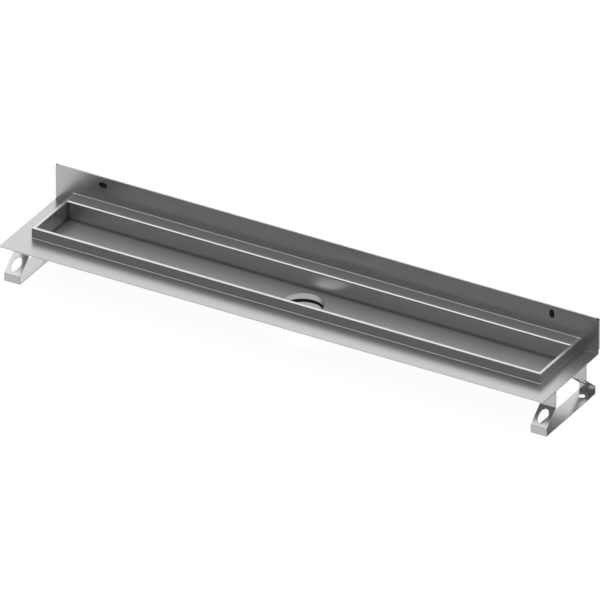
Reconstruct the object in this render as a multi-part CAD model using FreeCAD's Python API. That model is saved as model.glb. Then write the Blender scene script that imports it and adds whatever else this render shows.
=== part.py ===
import FreeCAD, Part
import math
import os

# Linear shower drain with a wall upstand, in stainless sheet, in millimetres.
# X runs along the drain, +Y points at the wall and +Z is up. The origin lies under the middle of
# the overall footprint, at the level that the feet stand on.

# Sheet work of the mounting flange and the wall upstand
LENGTH = 900.0              # flange and upstand, end to end
FLANGE_DEPTH = 161.0        # front edge to the face of the upstand
UPSTAND_HEIGHT = 57.0       # top edge above the flange's top face
CORNER_CUT_LENGTH = 3.5     # top corners cut off at 45 degrees, along either edge
SHEET = 1.5                 # flange, upstand and channel
FLANGE_FOLD_RADIUS = 0.2    # inside the fold between flange and upstand
CUTOUT_CLEARANCE = 0.5      # round the channel where it drops through the flange
CUTOUT_CORNER = 3.0

# Fixing slots in the upstand: the left one lies level and the right one stands upright
SLOT_LENGTH = 13.7
SLOT_WIDTH = 8.2
LEVEL_SLOT_FROM_END = 79.1
UPRIGHT_SLOT_FROM_END = 76.5
SLOT_HEIGHT = 43.9          # centre above the flange's top face

# Foam strip bonded to the back of the upstand
STRIP_THICKNESS = 2.0
STRIP_HEIGHT = 50.0
STRIP_FROM_TOP = 1.0        # below the upstand's top edge

# Raised channel body
END_MARGIN = 28.5           # flange left free outside each end
FRONT_MARGIN = 44.5         # flange left free in front
RIM_HEIGHT = 16.0           # top of the rim above the flange's top face
RIM_WIDTH = 5.4             # outer wall, gap and inner wall together
RIM_RADIUS = 1.3            # outside radius of the rim's folds
LEDGE_RADIUS = 3.0          # fold from the channel's back wall to the ledge behind it
LEDGE_FALL = 1.2            # the ledge is this much higher at the upstand
CHANNEL_WIDTH = 87.3        # inside, front to back
CHANNEL_DEPTH = 29.2        # rim to the floor's edges
FLOOR_FALL = 2.0            # the floor's middle line lies this much lower than its edges
FLOOR_FOLD_RADIUS = 0.1     # inside the folds between walls and floor
WELD_RADIUS = 0.9           # run of weld round the foot of the body and along the ledge

# Outlet under the floor
OUTLET_RADIUS = 32.0        # hole in the floor and bore of the socket
SOCKET_WALL = 1.5
SOCKET_LENGTH = 23.0        # floor's middle line to the socket's end
SOCKET_CHAMFER = 0.7
SEAL_DEPTH = 7.8            # floor's middle line down to the seal's groove
SEAL_HEIGHT = 5.6
SEAL_GROOVE = 3.0           # radial depth of the groove
SEAL_LIP = 1.2              # the lip stands this far into the bore

# Folded feet
FEET_HEIGHT = 63.3          # flange's top face above the floor
FOOT_SHEET = 1.5
FOOT_WIDTH = 26.0
FOOT_FROM_END = 0.6
FOOT_FROM_FRONT = 12.7      # front toe behind the flange's front edge
FOOT_LENGTH = 141.9         # over both toes
LEG_FROM_TOE = 26.3         # across the sloped shoulder
TOE_HEIGHT = 13.0
SHOULDER_HEIGHT = 22.0
FOOT_FOLD_RADIUS = 0.6      # outside the folds, which are sharp inside
WINDOW_WIDTH = 15.2         # elliptic window in each shoulder
WINDOW_LENGTH = 23.8
SCREW_HOLE_RADIUS = 5.4
SCREW_FROM_FRONT_TOE = 12.4
SCREW_FROM_BACK_TOE = 16.8

# Places that follow from the sizes above
DEPTH = FLANGE_DEPTH + SHEET + STRIP_THICKNESS
FRONT = -DEPTH / 2
LEFT = -LENGTH / 2
WALL_FACE = FRONT + FLANGE_DEPTH
WALL_BACK = WALL_FACE + SHEET
FLANGE_TOP = FEET_HEIGHT
FLANGE_UNDERSIDE = FLANGE_TOP - SHEET
UPSTAND_TOP = FLANGE_TOP + UPSTAND_HEIGHT
BODY_LEFT = LEFT + END_MARGIN
BODY_FRONT = FRONT + FRONT_MARGIN
RIM_TOP = FLANGE_TOP + RIM_HEIGHT
LEDGE_TOP = RIM_TOP + LEDGE_FALL
CHANNEL_LEFT = BODY_LEFT + RIM_WIDTH
CHANNEL_FRONT = BODY_FRONT + RIM_WIDTH
CHANNEL_BACK = CHANNEL_FRONT + CHANNEL_WIDTH
CHANNEL_MIDDLE = CHANNEL_FRONT + CHANNEL_WIDTH / 2
LEDGE_SLOPE = LEDGE_FALL / (WALL_FACE - CHANNEL_BACK)
FLOOR_EDGE = RIM_TOP - CHANNEL_DEPTH
FLOOR_MIDDLE = FLOOR_EDGE - FLOOR_FALL

PAST = 20.0                 # a cutter runs this far past what it cuts
SLACK = 0.01


def corner_arc(before, at, after, radius):
    """Arc that rounds the corner at, tangent to the two sides that meet there."""
    to_before = (before - at).normalize()
    to_after = (after - at).normalize()
    half = to_before.getAngle(to_after) / 2
    reach = radius / math.tan(half)
    bisector = (to_before + to_after).normalize()
    middle = at + bisector * (radius / math.sin(half) - radius)
    return at + to_before * reach, middle, at + to_after * reach


def outline(points, radii):
    """Face inside a closed run of straight sides, rounded at each corner that has a radius."""
    arcs = []
    for index, point in enumerate(points):
        after = points[(index + 1) % len(points)]
        if radii[index] > 0:
            arcs.append(corner_arc(points[index - 1], point, after, radii[index]))
        else:
            arcs.append((point, point, point))
    edges = []
    for index, (start, middle, end) in enumerate(arcs):
        if radii[index] > 0:
            edges.append(Part.Arc(start, middle, end).toShape())
        following = arcs[(index + 1) % len(arcs)][0]
        if end.distanceToPoint(following) > SLACK:
            edges.append(Part.makeLine(end, following))
    return Part.Face(Part.Wire(edges))


def along_x(section, left, right):
    """Solid between two places on X, from a section of (y, z, corner radius)."""
    points = [FreeCAD.Vector(left, y, z) for y, z, radius in section]
    face = outline(points, [radius for y, z, radius in section])
    return face.extrude(FreeCAD.Vector(right - left, 0, 0))


def along_y(section, front, back):
    """Solid between two places on Y, from a section of (x, z, corner radius)."""
    points = [FreeCAD.Vector(x, front, z) for x, z, radius in section]
    face = outline(points, [radius for x, z, radius in section])
    return face.extrude(FreeCAD.Vector(0, back - front, 0))


def block(low, high):
    """Box between two opposite corners."""
    size = [b - a for a, b in zip(low, high)]
    return Part.makeBox(*size, FreeCAD.Vector(*low))


def turned(section):
    """Solid of revolution about the outlet's axis, from a section of (radius, z)."""
    points = [FreeCAD.Vector(radius, CHANNEL_MIDDLE, z) for radius, z in section]
    face = Part.Face(Part.makePolygon(points + points[:1]))
    axis_point = FreeCAD.Vector(0, CHANNEL_MIDDLE, 0)
    return face.revolve(axis_point, FreeCAD.Vector(0, 0, 1), 360)


def slot_cutter(centre, along, across, length, width, reach):
    """Slot-shaped cutter centred on a point, long one way, wide the other, and 2 reach deep."""
    radius = width / 2
    depth = along.cross(across).normalize() * reach
    half = along * (length / 2 - radius)
    side = across * radius
    tip = along * radius
    start = centre - depth
    near, far = start - half, start + half
    edges = [Part.makeLine(near + side, far + side),
             Part.Arc(far + side, far + tip, far - side).toShape(),
             Part.makeLine(far - side, near - side),
             Part.Arc(near - side, near - tip, near + side).toShape()]
    return Part.Face(Part.Wire(edges)).extrude(depth * 2)


def ellipse_cutter(centre, along, across, length, width, reach):
    """Elliptic cutter centred on a point, long one way, wide the other, and 2 reach deep."""
    depth = along.cross(across).normalize() * reach
    start = centre - depth
    curve = Part.Ellipse(start + along * (length / 2), start + across * (width / 2), start)
    return Part.Face(Part.Wire(curve.toShape())).extrude(depth * 2)


def edges_within(shape, boxes):
    """Edges that lie wholly inside one of the given boxes."""
    found = []
    for edge in shape.Edges:
        box = edge.BoundBox
        low = (box.XMin, box.YMin, box.ZMin)
        high = (box.XMax, box.YMax, box.ZMax)
        for first, last in boxes:
            above = all(a >= b - SLACK for a, b in zip(low, first))
            if above and all(a <= b + SLACK for a, b in zip(high, last)):
                found.append(edge)
                break
    return found


def wall_flange():
    """Flange and upstand, one sheet folded to an L, with the channel's cut-out and two slots."""
    fold = FLANGE_FOLD_RADIUS
    section = [(FRONT, FLANGE_UNDERSIDE, 0), (FRONT, FLANGE_TOP, 0),
               (WALL_FACE, FLANGE_TOP, fold), (WALL_FACE, UPSTAND_TOP, 0),
               (WALL_BACK, UPSTAND_TOP, 0), (WALL_BACK, FLANGE_UNDERSIDE, fold + SHEET)]
    sheet = along_x(section, LEFT, -LEFT)
    drop = SHEET + CUTOUT_CLEARANCE
    cutout = block((CHANNEL_LEFT - drop, CHANNEL_FRONT - drop, FLANGE_UNDERSIDE - PAST),
                   (-CHANNEL_LEFT + drop, CHANNEL_BACK + drop, FLANGE_TOP + PAST))
    uprights = [edge for edge in cutout.Edges if edge.BoundBox.ZLength > PAST]
    sheet = sheet.cut(cutout.makeFillet(CUTOUT_CORNER, uprights))
    level, upright = FreeCAD.Vector(1, 0, 0), FreeCAD.Vector(0, 0, 1)
    for side, from_end, along, across in ((-1, LEVEL_SLOT_FROM_END, level, upright),
                                          (1, UPRIGHT_SLOT_FROM_END, upright, level)):
        tip = -side * LEFT
        clipped = [(tip, UPSTAND_TOP, 0), (tip - side * CORNER_CUT_LENGTH, UPSTAND_TOP, 0),
                   (tip, UPSTAND_TOP - CORNER_CUT_LENGTH, 0)]
        sheet = sheet.cut(along_y(clipped, WALL_FACE - PAST, WALL_BACK + PAST))
        centre = FreeCAD.Vector(tip - side * from_end, WALL_FACE, FLANGE_TOP + SLOT_HEIGHT)
        sheet = sheet.cut(slot_cutter(centre, along, across, SLOT_LENGTH, SLOT_WIDTH, PAST))
    return sheet


def wall_strip():
    """Foam strip on the upstand's back, from end to end and just clear of its top edge."""
    top = UPSTAND_TOP - STRIP_FROM_TOP
    return block((LEFT, WALL_BACK, top - STRIP_HEIGHT), (-LEFT, WALL_BACK + STRIP_THICKNESS, top))


def raised_body():
    """Solid raised body, its top edges folded round, with weld runs at its foot and ledge."""
    section = [(BODY_FRONT, FLANGE_TOP, 0), (BODY_FRONT, RIM_TOP, 0), (CHANNEL_BACK, RIM_TOP, 0),
               (WALL_FACE, LEDGE_TOP, 0), (WALL_FACE, FLANGE_TOP, 0)]
    body = along_x(section, BODY_LEFT, -BODY_LEFT)
    right = -BODY_LEFT
    rim = [((BODY_LEFT, BODY_FRONT, RIM_TOP), (right, BODY_FRONT, RIM_TOP))]
    welds = [((BODY_LEFT, BODY_FRONT, FLANGE_TOP), (right, BODY_FRONT, FLANGE_TOP)),
             ((BODY_LEFT, WALL_FACE, LEDGE_TOP), (right, WALL_FACE, LEDGE_TOP))]
    for end in (BODY_LEFT, right):
        rim.append(((end, BODY_FRONT, RIM_TOP), (end, WALL_FACE, LEDGE_TOP)))
        welds.append(((end, BODY_FRONT, FLANGE_TOP), (end, WALL_FACE, FLANGE_TOP)))
    body = body.makeFillet(RIM_RADIUS, edges_within(body, rim))
    floor = block((LEFT, FRONT, FLANGE_TOP - PAST), (-LEFT, WALL_FACE, FLANGE_TOP))
    wall = block((LEFT, WALL_FACE, FLANGE_TOP - PAST), (-LEFT, WALL_FACE + PAST, UPSTAND_TOP))
    whole = body.fuse([floor, wall]).removeSplitter()
    whole = whole.makeFillet(WELD_RADIUS, edges_within(whole, welds))
    return whole.cut([floor, wall])


def mouth(wall, outwards, radius, slope, offset, above):
    """One side of a channel section, from above: in over the rim, then round its fold to the wall.

    The rim's top is at height 0 here.
    """
    corner = wall + outwards * offset
    if radius <= offset:
        return [(corner, above, 0)]
    reach = radius + SHEET
    edge = wall + outwards * reach
    return [(edge, above, 0), (edge, slope * reach - offset, 0),
            (corner, slope * offset - offset, radius - offset)]


def channel_space(offset, above):
    """Space inside the channel, grown by an offset, up to some height above its rim.

    The section across has walls and a floor that falls to its middle line. The section lengthwise
    has the end walls. Their common solid mitres the rim's folds at the corners. It is made about
    the middle of the rim and then put in its place.
    """
    front, back = -CHANNEL_WIDTH / 2, CHANNEL_WIDTH / 2
    fold = FLOOR_FOLD_RADIUS + offset
    edge = -CHANNEL_DEPTH - offset
    across = mouth(front, -1, RIM_RADIUS, 0, offset, above)
    across += [(front - offset, edge, fold), (0, edge - FLOOR_FALL, 0),
               (back + offset, edge, fold)]
    across += reversed(mouth(back, 1, LEDGE_RADIUS, LEDGE_SLOPE, offset, above))
    bottom = edge - PAST
    lengthwise = mouth(CHANNEL_LEFT, -1, RIM_RADIUS, 0, offset, above)
    lengthwise += [(CHANNEL_LEFT - offset, bottom, 0), (-CHANNEL_LEFT + offset, bottom, 0)]
    lengthwise += reversed(mouth(-CHANNEL_LEFT, 1, RIM_RADIUS, 0, offset, above))
    space = along_x(across, CHANNEL_LEFT - PAST, -CHANNEL_LEFT + PAST)
    space = space.common(along_y(lengthwise, front - PAST, back + PAST))
    space.translate(FreeCAD.Vector(0, CHANNEL_MIDDLE, RIM_TOP))
    return space


def channel_tray(flange):
    """Channel body: raised body hollowed to sheet thickness, with the channel hung in its rim."""
    below = FLANGE_TOP - PAST
    hollow = [(BODY_FRONT + SHEET, below, 0), (BODY_FRONT + SHEET, RIM_TOP - SHEET, 0),
              (CHANNEL_BACK, RIM_TOP - SHEET, 0),
              (WALL_FACE + PAST, LEDGE_TOP + LEDGE_SLOPE * PAST - SHEET, 0),
              (WALL_FACE + PAST, below, 0)]
    body = raised_body().cut(along_x(hollow, BODY_LEFT + SHEET, -BODY_LEFT - SHEET))
    body = body.fuse(channel_space(SHEET, -SHEET / 2))
    body = body.cut(channel_space(0, PAST))
    outlet = Part.makeCylinder(OUTLET_RADIUS, 2 * PAST,
                               FreeCAD.Vector(0, CHANNEL_MIDDLE, FLOOR_MIDDLE - PAST))
    return body.cut([outlet, flange]).removeSplitter()


def outlet_socket():
    """Turned socket with a groove for the seal, cut to the underside of the falling floor."""
    bore, outside = OUTLET_RADIUS, OUTLET_RADIUS + SOCKET_WALL
    groove, bead = bore + SEAL_GROOVE, outside + SEAL_GROOVE
    groove_top = FLOOR_MIDDLE - SEAL_DEPTH
    groove_foot = groove_top - SEAL_HEIGHT
    end = FLOOR_MIDDLE - SOCKET_LENGTH
    section = [(bore, FLOOR_EDGE), (bore, groove_top), (groove, groove_top),
               (groove, groove_foot), (bore, groove_foot), (bore, end),
               (outside - SOCKET_CHAMFER, end), (outside, end + SOCKET_CHAMFER),
               (outside, groove_foot - SEAL_GROOVE), (bead, groove_foot), (bead, groove_top),
               (outside, groove_top + SEAL_GROOVE), (outside, FLOOR_EDGE)]
    return turned(section).cut(channel_space(SHEET, 0))


def outlet_seal():
    """Rubber ring that fills the socket's groove, with a lip that stands into the bore."""
    top = FLOOR_MIDDLE - SEAL_DEPTH
    foot = top - SEAL_HEIGHT
    bore, groove = OUTLET_RADIUS, OUTLET_RADIUS + SEAL_GROOVE
    lip = (bore - SEAL_LIP, (top + foot) / 2)
    return turned([(groove, top), (bore, top), lip, (bore, foot), (groove, foot)])


def shifted_outline(points, shifts):
    """Corners of an outline whose sides each move inwards by their own shift."""
    moved = []
    count = len(points)
    for index, (y, z) in enumerate(points):
        before, after = points[index - 1], points[(index + 1) % count]
        a = (y - before[0], z - before[1])
        b = (after[0] - y, after[1] - z)
        long_a, long_b = math.hypot(*a), math.hypot(*b)
        shift_a, shift_b = shifts[index - 1], shifts[index]
        cross = a[0] * b[1] - a[1] * b[0]
        move = [(b[i] * shift_a * long_a - a[i] * shift_b * long_b) / cross for i in (0, 1)]
        moved.append((y + move[0], z + move[1]))
    return moved


def foot_bracket(left):
    """One strip folded into a closed frame under the flange: legs, sloped shoulders, toes, base."""
    right = left + FOOT_WIDTH
    toe_front = FRONT + FOOT_FROM_FRONT
    toe_back = toe_front + FOOT_LENGTH
    leg_front, leg_back = toe_front + LEG_FROM_TOE, toe_back - LEG_FROM_TOE
    shoulder = TOE_HEIGHT + SHOULDER_HEIGHT
    outside = [(leg_front, FLANGE_UNDERSIDE), (leg_front, shoulder), (toe_front, TOE_HEIGHT),
               (toe_front, 0), (toe_back, 0), (toe_back, TOE_HEIGHT), (leg_back, shoulder),
               (leg_back, FLANGE_UNDERSIDE)]
    shifts = [FOOT_SHEET] * (len(outside) - 1) + [-PAST]
    inside = shifted_outline(outside, shifts)
    fold = FOOT_FOLD_RADIUS
    outer_radii = [0, 0, fold, fold, fold, fold, 0, 0]
    inner_radii = [0, fold, 0, 0, 0, 0, fold, 0]
    strip = along_x([p + (r,) for p, r in zip(outside, outer_radii)], left, right)
    strip = strip.cut(along_x([p + (r,) for p, r in zip(inside, inner_radii)],
                              left - PAST, right + PAST))
    middle = (left + right) / 2
    across = FreeCAD.Vector(1, 0, 0)
    for toe, leg, screw in ((toe_front, leg_front, toe_front + SCREW_FROM_FRONT_TOE),
                            (toe_back, leg_back, toe_back - SCREW_FROM_BACK_TOE)):
        centre = FreeCAD.Vector(middle, (toe + leg) / 2, TOE_HEIGHT + SHOULDER_HEIGHT / 2)
        along = FreeCAD.Vector(0, leg - toe, SHOULDER_HEIGHT).normalize()
        strip = strip.cut(ellipse_cutter(centre, along, across, WINDOW_LENGTH, WINDOW_WIDTH,
                                         2 * FOOT_SHEET))
        hole = FreeCAD.Vector(middle, screw, -FOOT_SHEET)
        strip = strip.cut(Part.makeCylinder(SCREW_HOLE_RADIUS, 3 * FOOT_SHEET, hole))
    return strip


def build():
    """Every piece of the drain, by name."""
    flange = wall_flange()
    return {
        "wall_flange": flange,
        "wall_strip": wall_strip(),
        "channel_tray": channel_tray(flange),
        "outlet_socket": outlet_socket(),
        "outlet_seal": outlet_seal(),
        "foot_bracket_left": foot_bracket(LEFT + FOOT_FROM_END),
        "foot_bracket_right": foot_bracket(-LEFT - FOOT_FROM_END - FOOT_WIDTH),
    }


os.makedirs("parts", exist_ok=True)
for name, shape in build().items():
    shape.exportStep("parts/" + name + ".step")
    print(name, shape.isValid(), len(shape.Solids), round(shape.Volume, 1), shape.BoundBox)
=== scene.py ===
"""Looks of a linear shower drain: satin stainless sheet, weld runs, a rubber seal and a foam strip."""

import math

import bpy
import numpy as np
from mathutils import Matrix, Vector


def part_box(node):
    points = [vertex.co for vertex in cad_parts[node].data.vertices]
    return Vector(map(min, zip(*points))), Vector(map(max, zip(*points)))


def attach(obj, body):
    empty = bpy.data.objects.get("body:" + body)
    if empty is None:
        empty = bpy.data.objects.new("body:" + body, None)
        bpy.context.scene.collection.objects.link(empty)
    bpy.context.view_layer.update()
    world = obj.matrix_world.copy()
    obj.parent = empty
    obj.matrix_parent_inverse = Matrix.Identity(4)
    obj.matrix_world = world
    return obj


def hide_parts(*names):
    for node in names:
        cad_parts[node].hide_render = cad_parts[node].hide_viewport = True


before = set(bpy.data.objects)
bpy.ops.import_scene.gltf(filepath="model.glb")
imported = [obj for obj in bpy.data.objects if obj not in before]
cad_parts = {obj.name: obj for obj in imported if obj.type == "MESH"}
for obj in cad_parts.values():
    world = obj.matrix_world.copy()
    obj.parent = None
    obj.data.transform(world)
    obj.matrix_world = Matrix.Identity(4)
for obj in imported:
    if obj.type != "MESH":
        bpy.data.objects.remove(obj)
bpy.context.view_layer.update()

# Sizes of the solids that the pieces and finishes below meet, in metres
SHEET = 0.0015              # flange, upstand and channel
END_MARGIN = 0.0285         # flange left free outside each end of the body
FRONT_MARGIN = 0.0445
RIM_HEIGHT = 0.016          # top of the rim above the flange
RIM_WIDTH = 0.0054
CHANNEL_WIDTH = 0.0873
CHANNEL_DEPTH = 0.0292      # rim to the floor's edges
FLOOR_FALL = 0.002          # the channel's floor falls this far from its edges to its middle line
OUTLET_RADIUS = 0.032
SOCKET_WALL = 0.0015
SEAL_GROOVE = 0.003
LEG_FROM_TOE = 0.0263
FOOT_SHEET = 0.0015

# Places of the solids
FLANGE_LOW, FLANGE_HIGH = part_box("wall_flange")
TRAY_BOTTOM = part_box("channel_tray")[0][2]
SEAL_LOW, SEAL_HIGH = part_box("outlet_seal")
FEET = [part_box("foot_bracket_left"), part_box("foot_bracket_right")]
OUTLET_X, OUTLET_Y = [(SEAL_LOW[axis] + SEAL_HIGH[axis]) / 2 for axis in (0, 1)]
RIM_TOP = FLANGE_LOW[2] + SHEET + RIM_HEIGHT
CHANNEL_RIGHT = FLANGE_HIGH[0] - END_MARGIN - RIM_WIDTH
CHANNEL_FRONT = FLANGE_LOW[1] + FRONT_MARGIN + RIM_WIDTH
CHANNEL_BACK = CHANNEL_FRONT + CHANNEL_WIDTH
CHANNEL_FLOOR = RIM_TOP - CHANNEL_DEPTH


class Signal:
    """One output socket of a node, with the operators that the finishes use."""

    def __init__(self, graph, socket):
        self.graph = graph
        self.socket = socket

    def _with(self, operation, first, second):
        """Adds a Math node."""
        return self.graph.node("Math", {"operation": operation}, {0: first, 1: second})

    def __add__(self, other):
        return self._with("ADD", self, other)

    __radd__ = __add__

    def __sub__(self, other):
        return self._with("SUBTRACT", self, other)

    def __rsub__(self, other):
        return self._with("SUBTRACT", other, self)

    def __mul__(self, other):
        return self._with("MULTIPLY", self, other)

    __rmul__ = __mul__

    def __truediv__(self, other):
        return self._with("DIVIDE", self, other)

    def __rtruediv__(self, other):
        return self._with("DIVIDE", other, self)

    def __pow__(self, other):
        return self._with("POWER", self, other)

    def __rpow__(self, other):
        return self._with("POWER", other, self)

    def __abs__(self):
        return self._with("ABSOLUTE", self, 0.0)


class Graph:
    """The node tree of a material or of the world."""

    def __init__(self, owner):
        owner.use_nodes = True
        self.owner = owner
        self.tree = owner.node_tree
        self.tree.nodes.clear()

    def node(self, kind, settings=None, inputs=None, output=0):
        """Adds a node, with its settings first and then the values or links of its sockets.

        Returns one of its outputs as a signal, or None where the node has no outputs.
        """
        made = self.tree.nodes.new("ShaderNode" + kind)
        for name, value in (settings or {}).items():
            setattr(made, name, value)
        for key, value in (inputs or {}).items():
            if isinstance(value, Signal):
                self.tree.links.new(value.socket, made.inputs[key])
            else:
                made.inputs[key].default_value = value
        return Signal(self, made.outputs[output]) if made.outputs else None

    def ramp(self, value, span, results=(0.0, 1.0)):
        """Smooth step from the first result to the second while a value crosses a span."""
        settings = {"interpolation_type": "SMOOTHSTEP", "clamp": True}
        inputs = {"Value": value, "From Min": span[0], "From Max": span[1],
                  "To Min": results[0], "To Max": results[1]}
        return self.node("MapRange", settings, inputs)

    def mixed_colour(self, factor, first, second):
        """Colour between two others. A Mix node's colours go in at 6 and 7 and come out at 2."""
        settings = {"data_type": "RGBA", "clamp_factor": True}
        return self.node("Mix", settings, {0: factor, 6: first, 7: second}, output=2)

    def tone(self, factor, dark, light):
        """Grey between two levels."""
        return self.mixed_colour(factor, grey(dark), grey(light))

    def noise(self, place, scale, detail, roughness):
        """Noise from 0 to 1 over the given coordinates."""
        inputs = {"Vector": place, "Scale": scale, "Detail": detail, "Roughness": roughness}
        return self.node("TexNoise", {"noise_dimensions": "3D"}, inputs)

    def bump(self, height, strength, depth):
        """Normal of a surface with a fine relief."""
        return self.node("Bump", None, {"Strength": strength, "Distance": depth, "Height": height})

    def place(self):
        """Object coordinates."""
        return self.node("TexCoord", output="Object")

    def parts(self, vector):
        """The three numbers of a vector."""
        split = self.node("SeparateXYZ", None, {"Vector": vector})
        return [Signal(self, output) for output in split.socket.node.outputs]

    def finished(self, sockets):
        """The material, whose surface is a Principled shader with these values and links."""
        surface = self.node("BsdfPrincipled", None, sockets)
        self.node("OutputMaterial", None, {"Surface": surface})
        return self.owner


def grey(level):
    """Neutral colour of one level."""
    return (level, level, level, 1.0)


# Satin sheet
ALONG, ACROSS, UP = 0, 1, 2         # the drain's axes
STEEL_TONES = (0.49, 0.51)          # darkest and lightest
FLANGE_ROUGHNESS = 0.30
CHANNEL_ROUGHNESS = 0.33
FOOT_ROUGHNESS = 0.25
GRAIN_ACROSS = 1400.0       # grain lines to the metre, across the rolling direction
GRAIN_ALONG = 18.0
GRAIN_NOISE = (1.0, 2.0, 0.6)       # scale, detail and roughness of a noise
GRAIN_RELIEF = (0.015, 0.00001)     # strength of a bump and its depth in metres
GRAIN_SHARE = 0.7           # of the sheet's tones, beside its clouds
GRAIN_SHEEN = 0.01          # how much the grain changes the roughness
CLOUD_NOISE = (14.0, 3.0, 0.5)
CLOUD_SHEEN = 0.02
PAINTED_RIM_HIGHLIGHT = 0.62            # painted highlight on the rim's folds, a lighter base colour
PAINTED_RIM_HIGHLIGHT_DEPTH = 0.0016    # below the top of the rim
PAINTED_CREASE_SHADE = 0.30               # painted shade in the channel's inside folds, a darker base colour
PAINTED_CREASE_SHADE_WIDTH = 0.006


def painted_crease_shade(graph):
    """Mask of the painted shade in the channel's inside folds.

    Each wall and the floor gives 1 on itself and falls to 0 over the width of a crease. Their sum
    is 1 on a plain surface and 2 where two of them meet.
    """
    along, across, up = graph.parts(graph.place())
    planes = [abs(abs(along) - CHANNEL_RIGHT), abs(across - CHANNEL_FRONT),
              abs(across - CHANNEL_BACK), abs(up - CHANNEL_FLOOR)]
    total = sum(graph.ramp(distance, (0.0, PAINTED_CREASE_SHADE_WIDTH), (1.0, 0.0)) for distance in planes)
    return graph.node("Clamp", None, {"Value": total - 1.0})


def painted_rim_highlight(graph):
    """Mask of the painted highlight on the rim: all round the channel's mouth, and no wider than the
    rim.
    """
    along, across, up = graph.parts(graph.place())
    high = graph.ramp(up, (RIM_TOP - PAINTED_RIM_HIGHLIGHT_DEPTH, RIM_TOP - PAINTED_RIM_HIGHLIGHT_DEPTH / 2))
    rim_span = (CHANNEL_BACK + RIM_WIDTH / 2, CHANNEL_BACK + RIM_WIDTH)
    before_ledge = graph.ramp(across, rim_span, (1.0, 0.0))
    beside = graph.ramp(abs(along), (CHANNEL_RIGHT - SHEET, CHANNEL_RIGHT))
    return high * (before_ledge + beside * (1.0 - before_ledge))


def satin_stainless(name, rolled, roughness, paint_shade_and_highlight=False):
    """Satin sheet: fine grain along the axis it was rolled on, with soft clouds in its sheen."""
    graph = Graph(bpy.data.materials.new(name))
    scale = [GRAIN_ACROSS] * 3
    scale[rolled] = GRAIN_ALONG
    stretched = graph.node("Mapping", {"vector_type": "POINT"},
                           {"Vector": graph.place(), "Scale": scale})
    grain = graph.noise(stretched, *GRAIN_NOISE)
    cloud = graph.noise(graph.place(), *CLOUD_NOISE)
    colour = graph.tone(grain * GRAIN_SHARE + cloud * (1.0 - GRAIN_SHARE), *STEEL_TONES)
    if paint_shade_and_highlight:
        # painted shade: the channel's inside folds are darkened in the base colour
        colour = graph.mixed_colour(painted_crease_shade(graph), colour, grey(PAINTED_CREASE_SHADE))
        # painted highlight: the rim is lightened in the base colour
        colour = graph.mixed_colour(painted_rim_highlight(graph), colour, grey(PAINTED_RIM_HIGHLIGHT))
    sheen = roughness + (grain - 0.5) * GRAIN_SHEEN + (cloud - 0.5) * CLOUD_SHEEN
    return graph.finished({"Base Color": colour, "Metallic": 1.0, "Roughness": sheen,
                           "Normal": graph.bump(grain, *GRAIN_RELIEF)})


# Filler of the welds
FILLER_TONES = (0.42, 0.56)
FILLER_ROUGHNESS = 0.25
SCALE_NOISE = (900.0, 3.0, 0.6)
SCALE_RELIEF = (0.3, 0.00005)
SCALE_SHEEN = 0.15


def weld_metal(name):
    """Bead of melted filler: a little uneven in tone, with fine scale on it."""
    graph = Graph(bpy.data.materials.new(name))
    marks = graph.noise(graph.place(), *SCALE_NOISE)
    return graph.finished({"Base Color": graph.tone(marks, *FILLER_TONES), "Metallic": 1.0,
                           "Roughness": FILLER_ROUGHNESS + marks * SCALE_SHEEN,
                           "Normal": graph.bump(marks, *SCALE_RELIEF)})


# Rubber of the seal
RUBBER_TONES = (0.004, 0.012)
RUBBER_ROUGHNESS = 0.5
RUBBER_SPECULAR = 0.25
BLOOM_NOISE = (260.0, 4.0, 0.55)
BLOOM_RELIEF = (0.2, 0.00005)
BLOOM_SHEEN = 0.2


def seal_rubber(name):
    """Black moulded rubber with a faint bloom."""
    graph = Graph(bpy.data.materials.new(name))
    bloom = graph.noise(graph.place(), *BLOOM_NOISE)
    return graph.finished({"Base Color": graph.tone(bloom, *RUBBER_TONES),
                           "Roughness": RUBBER_ROUGHNESS + bloom * BLOOM_SHEEN,
                           "Specular IOR Level": RUBBER_SPECULAR,
                           "Normal": graph.bump(bloom, *BLOOM_RELIEF)})


# Foam of the strip
FOAM_TONES = (0.004, 0.016)
FOAM_ROUGHNESS = 0.85
CELLS_TO_THE_METRE = 1500.0
CELL_RELIEF = (0.5, 0.0002)


def strip_foam(name):
    """Black closed-cell foam: small round cells over a dull skin."""
    graph = Graph(bpy.data.materials.new(name))
    cells = graph.node("TexVoronoi", {"feature": "F1"},
                       {"Vector": graph.place(), "Scale": CELLS_TO_THE_METRE})
    return graph.finished({"Base Color": graph.tone(cells, *FOAM_TONES), "Roughness": FOAM_ROUGHNESS,
                           "Normal": graph.bump(cells, *CELL_RELIEF)})


def finish_solids(rubber):
    """Gives each solid of the drain its finish."""
    channel = satin_stainless("satin_channel", ALONG, CHANNEL_ROUGHNESS, paint_shade_and_highlight=True)
    foot = satin_stainless("satin_foot", ACROSS, FOOT_ROUGHNESS)
    finishes = {"wall_flange": satin_stainless("satin_sheet", ALONG, FLANGE_ROUGHNESS),
                "channel_tray": channel,
                "outlet_socket": satin_stainless("satin_socket", UP, CHANNEL_ROUGHNESS),
                "outlet_seal": rubber,
                "foot_bracket_left": foot,
                "foot_bracket_right": foot,
                "wall_strip": strip_foam("strip_foam")}
    for node, material in finishes.items():
        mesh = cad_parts[node].data
        mesh.materials.clear()
        mesh.materials.append(material)


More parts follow.
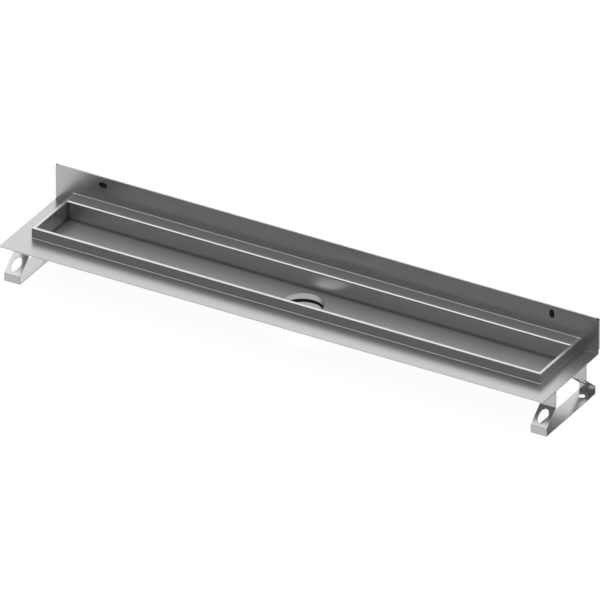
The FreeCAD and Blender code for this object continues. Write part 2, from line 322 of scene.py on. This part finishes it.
# Pieces finer than the solids
WELD_SIZE = 0.0014          # leg of each bead
WELD_RIPPLE = 0.06          # part of the leg that the ripples add and take away
RIPPLE_PITCH = 0.0012
RIPPLE_STEPS = 8            # sections to a ripple round the socket
BEAD_STEPS = 7              # points round a bead
FOOT_BEAD_STEPS = 160       # sections along a foot's bead
BEAD_END = 0.1              # leg at a foot bead's ends, as a part of the full leg
BEAD_FULLNESS = 6           # power that keeps a foot's bead at its full leg until near its ends
CLEARANCE = 0.00002         # the beads' backs and the seal lie this far off the metal
SEAL_RIB = 0.0012           # the ribs stand this far into the bore
SEAL_RIBS = 2
SEAL_STEPS = 33             # points up the seal's inside
SEAL_SIDES = 240            # sections round the seal


def piece(name, grids, ring, material):
    """Closed mesh from grids of points, each a run of closed sections.

    A ring joins its last section to its first. Otherwise both end sections are capped.
    """
    vertices, faces = [], []
    for grid in grids:
        runs, around = grid.shape[:2]
        start = len(vertices)
        vertices.extend(grid.reshape(-1, 3).tolist())
        run, side = np.indices((runs if ring else runs - 1, around))
        here, there = start + run * around, start + (run + 1) % runs * around
        beside = (side + 1) % around
        quads = np.stack([here + side, here + beside, there + beside, there + side], 2)
        faces.extend(quads.reshape(-1, 4).tolist())
        if not ring:
            # The first cap runs backwards, so that both face outwards
            faces.append(range(start + around - 1, start - 1, -1))
            faces.append(range(start + (runs - 1) * around, start + runs * around))
    mesh = bpy.data.meshes.new(name)
    mesh.from_pydata(vertices, [], faces)
    mesh.polygons.foreach_set("use_smooth", [True] * len(faces))
    mesh.materials.append(material)
    made = bpy.data.objects.new(name, mesh)
    bpy.context.scene.collection.objects.link(made)
    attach(made, "root")
    return made


def grid_of(x, y, z):
    """Grid of points from three arrays that spread to one shape."""
    return np.stack(np.broadcast_arrays(x, y, z), 2)


def about_outlet(angle, reach, height):
    """Grid of points at these angles, distances and heights about the outlet's axis."""
    return grid_of(OUTLET_X + reach * np.cos(angle), OUTLET_Y + reach * np.sin(angle), height)


def bead_section(size):
    """Quarter-round sections of a bead, as (out from the wall, down from the plate).

    Out is s cos t and down is s sin t, with t from 0 to 90 degrees, and a last point in the corner.
    """
    turn = np.linspace(0.0, math.pi / 2, BEAD_STEPS)
    out = np.append(np.cos(turn), 0.0) * size[:, None] + CLEARANCE
    down = np.append(np.sin(turn), 0.0) * size[:, None] + CLEARANCE
    return out, down


def outlet_weld(material):
    """Rippled bead where the socket meets the underside of the falling floor.

    At an angle a round the socket, whose outside radius is R, the bead lies at the radius R + out
    and at the height h + k |(R + out) sin a| - down, where k is the floor's fall to the metre. Its
    leg is s (1 + e cos n a), for n ripples.
    """
    radius = OUTLET_RADIUS + SOCKET_WALL
    ripples = round(2 * math.pi * radius / RIPPLE_PITCH)
    angle = np.linspace(0.0, 2 * math.pi, RIPPLE_STEPS * ripples, endpoint=False)[:, None]
    out, down = bead_section(WELD_SIZE * (1 + WELD_RIPPLE * np.cos(ripples * angle[:, 0])))
    reach = radius + out
    fall = FLOOR_FALL / (CHANNEL_WIDTH / 2)
    height = TRAY_BOTTOM + fall * np.abs(reach * np.sin(angle)) - down
    return piece("outlet_weld", [about_outlet(angle, reach, height)], True, material)


def foot_welds(material):
    """Rippled beads inside the top of each leg, where the feet hang from the flange.

    At a place u from -1 to 1 along a bead its leg is s (b + (1 - b)(1 - u^6))(1 + e cos(n pi u)),
    for n ripples, where b is the part of the leg that is left at the bead's ends.
    """
    inset = LEG_FROM_TOE + FOOT_SHEET
    along = np.linspace(-1.0, 1.0, FOOT_BEAD_STEPS)
    swell = BEAD_END + (1 - BEAD_END) * (1 - along ** BEAD_FULLNESS)
    grids = []
    for low, high in FEET:
        half = (high[0] - low[0]) / 2 - WELD_SIZE
        ripples = round(half * 2 / RIPPLE_PITCH)
        out, down = bead_section(
            WELD_SIZE * swell * (1 + WELD_RIPPLE * np.cos(ripples * math.pi * along)))
        x = (low[0] + high[0]) / 2 + half * along[:, None]
        front = grid_of(x, low[1] + inset + out, high[2] - down)
        back = grid_of(x, high[1] - inset - out, high[2] - down)
        grids += [front, back[:, ::-1]]
    return piece("foot_welds", grids, False, material)


def lipped_seal(material):
    """Moulded ring in the socket's groove, with ribs that stand into the bore.

    For v from 0 to 1 up the seal, its inner radius is r - b sin^2(n pi v), for n ribs, where r is
    the bore's radius and b the height of a rib. Its outer radius is r plus the groove's depth.
    """
    low, high = SEAL_LOW[2] + CLEARANCE, SEAL_HIGH[2] - CLEARANCE
    up = np.linspace(0.0, 1.0, SEAL_STEPS)
    inner = OUTLET_RADIUS - SEAL_RIB * np.sin(SEAL_RIBS * math.pi * up) ** 2
    outer = OUTLET_RADIUS + SEAL_GROOVE - CLEARANCE
    radius = np.append(inner, [outer, outer])[None, :]
    height = np.append(low + (high - low) * up, [high, low])[None, :]
    angle = np.linspace(0.0, 2 * math.pi, SEAL_SIDES, endpoint=False)[:, None]
    grid = about_outlet(angle, radius, height)
    made = piece("lipped_seal", [grid], True, material)
    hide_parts("outlet_seal")
    return made


# Camera, at the photograph's viewing angle
VIEW_AZIMUTH = 30.045
VIEW_ELEVATION = 29.77
VIEW_TARGET = Vector((0.00345, -0.0009, 0.0633))
VIEW_WIDTH = 0.86069        # metres across the frame at the target
LENS = 1650.0               # millimetres, long enough for a parallel look
SENSOR = 36.0
NEAREST = 1.0               # metres from the camera at which it starts to see


def make_camera():
    """Long-lens camera that frames the drain as the photograph does."""
    data = bpy.data.cameras.new("camera")
    camera = bpy.data.objects.new("camera", data)
    bpy.context.scene.collection.objects.link(camera)
    azimuth, elevation = math.radians(VIEW_AZIMUTH), math.radians(VIEW_ELEVATION)
    back = Vector((math.sin(azimuth) * math.cos(elevation),
                   -math.cos(azimuth) * math.cos(elevation), math.sin(elevation)))
    distance = VIEW_WIDTH * LENS / SENSOR
    camera.location = VIEW_TARGET + back * distance
    camera.rotation_mode = "QUATERNION"
    camera.rotation_quaternion = (-back).to_track_quat("-Z", "Y")
    data.lens, data.sensor_width = LENS, SENSOR
    data.clip_start, data.clip_end = NEAREST, 2 * distance
    bpy.context.scene.camera = camera


# Studio: white to the camera, while the metal mirrors light that is graded by direction
OVERHEAD = 1.65             # the soft box's edge
ZENITH = 1.35
BACK_LIGHT = 1.22
SHADE = 0.17                # the rest of the room
BELOW = 1.0                 # the lit floor in front
BEHIND = 0.15               # the floor behind, shaded by the wall
NADIR = 0.28                # straight below, in the drain's own shade
BACK_LIGHT_TOWARDS = (-0.5, 0.866)
SMALLEST_LEVEL = 1e-4       # keeps the division by the level part from zero straight up and down

# Where one light gives way to the next, as cosines from the back light or sines of the elevation
BACK_LIGHT_EDGE = (0.50, 0.78)
SOFT_BOX_EDGE = (0.61, 0.80)
SOFT_BOX_FADE = (0.84, 1.0)
FLOOR_FADE = (0.0, 0.8)
OWN_SHADE_EDGE = (-0.85, -0.60)
HORIZON = (-0.42, -0.20)


def make_world():
    """Soft box overhead and a bright wall behind and to the left, in a shaded room."""
    world = bpy.data.worlds.new("studio")
    bpy.context.scene.world = world
    graph = Graph(world)
    along, across, up = graph.parts(graph.node("TexCoord", output="Generated"))
    level = (along * along + across * across) ** 0.5 + SMALLEST_LEVEL
    facing = (along * BACK_LIGHT_TOWARDS[0] + across * BACK_LIGHT_TOWARDS[1]) / level
    side_light = graph.ramp(facing, BACK_LIGHT_EDGE, (SHADE, BACK_LIGHT))
    overhead = graph.ramp(up, SOFT_BOX_EDGE)
    soft_box = graph.ramp(up, SOFT_BOX_FADE, (OVERHEAD, ZENITH))
    sky = side_light * (1.0 - overhead) + overhead * soft_box
    lit_floor = graph.ramp(facing, FLOOR_FADE, (BELOW, BEHIND))
    ground = graph.ramp(up, OWN_SHADE_EDGE, (NADIR, lit_floor))
    above = graph.ramp(up, HORIZON)
    studio = sky * above + (1.0 - above) * ground
    seen = graph.node("LightPath", output="Is Camera Ray")
    strength = studio * (1.0 - seen) + seen
    surface = graph.node("Background", None, {"Color": grey(1.0), "Strength": strength})
    graph.node("OutputWorld", None, {"Surface": surface})


# Floor
FLOOR_HALF = 4.0
FLOOR_PAINT = 0.65
FLOOR_PAINT_SEEN = 0.1      # under the glow that makes the floor white to the camera
FLOOR_GLOW = 0.95


def make_floor():
    """Pale floor under the feet, white to the camera and see-through from below and to mirrors."""
    corners = FLOOR_HALF * np.array([[-1, -1, 0], [1, -1, 0], [1, 1, 0], [-1, 1, 0]])
    mesh = bpy.data.meshes.new("floor")
    mesh.from_pydata(corners.tolist(), [], [(0, 1, 2, 3)])
    floor = bpy.data.objects.new("floor", mesh)
    bpy.context.scene.collection.objects.link(floor)
    material = bpy.data.materials.new("pale_floor")
    graph = Graph(material)
    camera_ray = graph.node("LightPath", output="Is Camera Ray")
    glossy_ray = graph.node("LightPath", output="Is Glossy Ray")
    paint = graph.node("BsdfDiffuse", None, {
        "Color": graph.tone(camera_ray, FLOOR_PAINT, FLOOR_PAINT_SEEN)})
    glow = graph.node("Emission", None, {"Color": grey(1.0), "Strength": camera_ray * FLOOR_GLOW})
    both = graph.node("AddShader", None, {0: paint, 1: glow})
    clear = graph.node("BsdfTransparent")
    from_below = graph.node("NewGeometry", output="Backfacing")
    hidden = from_below + (1.0 - from_below) * glossy_ray
    surface = graph.node("MixShader", None, {0: hidden, 1: both, 2: clear})
    graph.node("OutputMaterial", None, {"Surface": surface})
    mesh.materials.append(material)


rubber = seal_rubber("seal_rubber")
filler = weld_metal("weld_metal")
make_camera()
make_world()
make_floor()
finish_solids(rubber)
outlet_weld(filler)
foot_welds(filler)
lipped_seal(rubber)

bpy.context.scene.view_settings.view_transform = "Standard"
